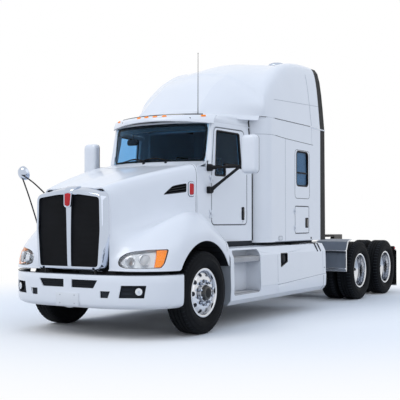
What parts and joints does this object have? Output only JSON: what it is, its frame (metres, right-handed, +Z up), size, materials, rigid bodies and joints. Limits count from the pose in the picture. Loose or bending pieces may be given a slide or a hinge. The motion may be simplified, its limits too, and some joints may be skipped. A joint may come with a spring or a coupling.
{
  "type": "semi truck tractor unit",
  "caption": "Conventional semi truck tractor with a high-roof sleeper, set-back front axle, tandem drive axles, tilting hood, hinged doors and a pitching fifth wheel.",
  "frame": {"origin": "on the ground under the middle of the truck's length and width", "axes": "+Z up, -Y towards the front of the truck, +X towards its left side"},
  "size_m": [2.8884, 8.315, 3.972],
  "materials": {
    "white_paint": "gloss",
    "black_paint": "satin",
    "steel": "satin",
    "bright": "polished",
    "alloy": "polished",
    "rubber": "matte",
    "black_plastic": "matte",
    "glass": "gloss",
    "lamp": "gloss",
    "red_lamp": "gloss",
    "trim": "matte",
    "mirror_shell": "gloss"
  },
  "bodies": {
    "chassis": {"frame": "black_paint", "front_axle": "steel", "drive_axles": "steel", "rear_suspension": "black_paint", "engine": "steel", "driveline": "steel", "fuel_tanks": "alloy", "side_fairings": "white_paint", "bumper": "white_paint", "tail_lamps": "red_lamp", "fifth_wheel_base": "black_paint", "quarter_fenders": "bright", "mud_flaps": "rubber", "floor": "black_paint", "cab_front": "white_paint", "cab_sides": "white_paint", "cab_roof": "white_paint", "sun_visor": "white_paint", "fixed_glass": "glass", "dashboard": "black_plastic", "seats": "trim", "bunk": "trim", "sleeper_walls": "white_paint", "roof_fairing": "white_paint", "side_extenders": "white_paint", "mirror_arms": "black_plastic", "mirror_heads": "mirror_shell", "roof_fittings": "black_plastic", "extender_trim": "black_plastic", "bumper_inserts": "black_plastic", "fog_lamps": "lamp"},
    "hood": {"hood": "white_paint", "grille_surround": "bright", "grilles": "black_plastic", "headlamps": "lamp", "hood_mirror": "black_plastic"},
    "door_left": {"door_left": "white_paint", "door_glass_left": "glass"},
    "door_right": {"door_right": "white_paint", "door_glass_right": "glass"},
    "luggage_door_left": {"luggage_door_left": "white_paint"},
    "luggage_door_right": {"luggage_door_right": "white_paint"},
    "fifth_wheel": {"fifth_wheel_plate": "black_paint"},
    "knuckle_left": {"knuckle_left": "steel"},
    "knuckle_right": {"knuckle_right": "steel"},
    "tie_rod": {"tie_rod": "steel"},
    "front_wheel_left": {"tyre_front_left": "rubber", "wheel_front_left": "alloy"},
    "front_wheel_right": {"tyre_front_right": "rubber", "wheel_front_right": "alloy"},
    "drive_wheels_1_left": {"tyres_drive1_left": "rubber", "wheels_drive1_left": "alloy"},
    "drive_wheels_1_right": {"tyres_drive1_right": "rubber", "wheels_drive1_right": "alloy"},
    "drive_wheels_2_left": {"tyres_drive2_left": "rubber", "wheels_drive2_left": "alloy"},
    "drive_wheels_2_right": {"tyres_drive2_right": "rubber", "wheels_drive2_right": "alloy"}
  },
  "joints": [
    {"name": "hood_tilt", "type": "hinge", "parent": "chassis", "child": "hood", "pos_m": [0, -4.1025, 0.826], "axis": [1, 0, 0], "range_deg": [0, 75]},
    {"name": "door_left_hinge", "type": "hinge", "parent": "chassis", "child": "door_left", "pos_m": [0.86447, -2.28708, 1.7], "axis": [0, 0, -1], "range_deg": [0, 45]},
    {"name": "door_right_hinge", "type": "hinge", "parent": "chassis", "child": "door_right", "pos_m": [-0.86447, -2.28708, 1.7], "axis": [0, 0, 1], "range_deg": [0, 45]},
    {"name": "luggage_left_hinge", "type": "hinge", "parent": "chassis", "child": "luggage_door_left", "pos_m": [1.135, -0.2875, 1.4], "axis": [0, 0, -1], "range_deg": [0, 110]},
    {"name": "luggage_right_hinge", "type": "hinge", "parent": "chassis", "child": "luggage_door_right", "pos_m": [-1.135, -0.2875, 1.4], "axis": [0, 0, 1], "range_deg": [0, 110]},
    {"name": "fifth_wheel_pitch", "type": "hinge", "parent": "chassis", "child": "fifth_wheel", "pos_m": [0, 2.9725, 1.05], "axis": [1, 0, 0], "range_deg": [-8, 8]},
    {"name": "steer_left", "type": "hinge", "parent": "chassis", "child": "knuckle_left", "pos_m": [0.9, -2.9875, 0.508], "axis": [0, 0, 1], "range_deg": [-38, 38]},
    {"name": "steer_right", "type": "hinge", "parent": "chassis", "child": "knuckle_right", "pos_m": [-0.9, -2.9875, 0.508], "axis": [0, 0, 1], "range_deg": [-38, 38]},
    {"name": "tie_rod_end", "type": "hinge", "parent": "knuckle_left", "child": "tie_rod", "pos_m": [0.9, -2.7975, 0.365], "axis": [0, 0, 1], "range_deg": [-38, 38]},
    {"name": "spin_front_left", "type": "hinge", "parent": "knuckle_left", "child": "front_wheel_left", "pos_m": [1.065, -2.9875, 0.508], "axis": [1, 0, 0], "continuous": true},
    {"name": "spin_front_right", "type": "hinge", "parent": "knuckle_right", "child": "front_wheel_right", "pos_m": [-1.065, -2.9875, 0.508], "axis": [1, 0, 0], "continuous": true},
    {"name": "spin_drive_1_left", "type": "hinge", "parent": "chassis", "child": "drive_wheels_1_left", "pos_m": [0.909, 2.2525, 0.508], "axis": [1, 0, 0], "continuous": true},
    {"name": "spin_drive_1_right", "type": "hinge", "parent": "chassis", "child": "drive_wheels_1_right", "pos_m": [-0.909, 2.2525, 0.508], "axis": [1, 0, 0], "continuous": true},
    {"name": "spin_drive_2_left", "type": "hinge", "parent": "chassis", "child": "drive_wheels_2_left", "pos_m": [0.909, 3.5725, 0.508], "axis": [1, 0, 0], "continuous": true},
    {"name": "spin_drive_2_right", "type": "hinge", "parent": "chassis", "child": "drive_wheels_2_right", "pos_m": [-0.909, 3.5725, 0.508], "axis": [1, 0, 0], "continuous": true}
  ],
  "couplings": [
    {"joint": "steer_right", "follows": "steer_left", "ratio": 1},
    {"joint": "tie_rod_end", "follows": "steer_left", "ratio": -1}
  ]
}
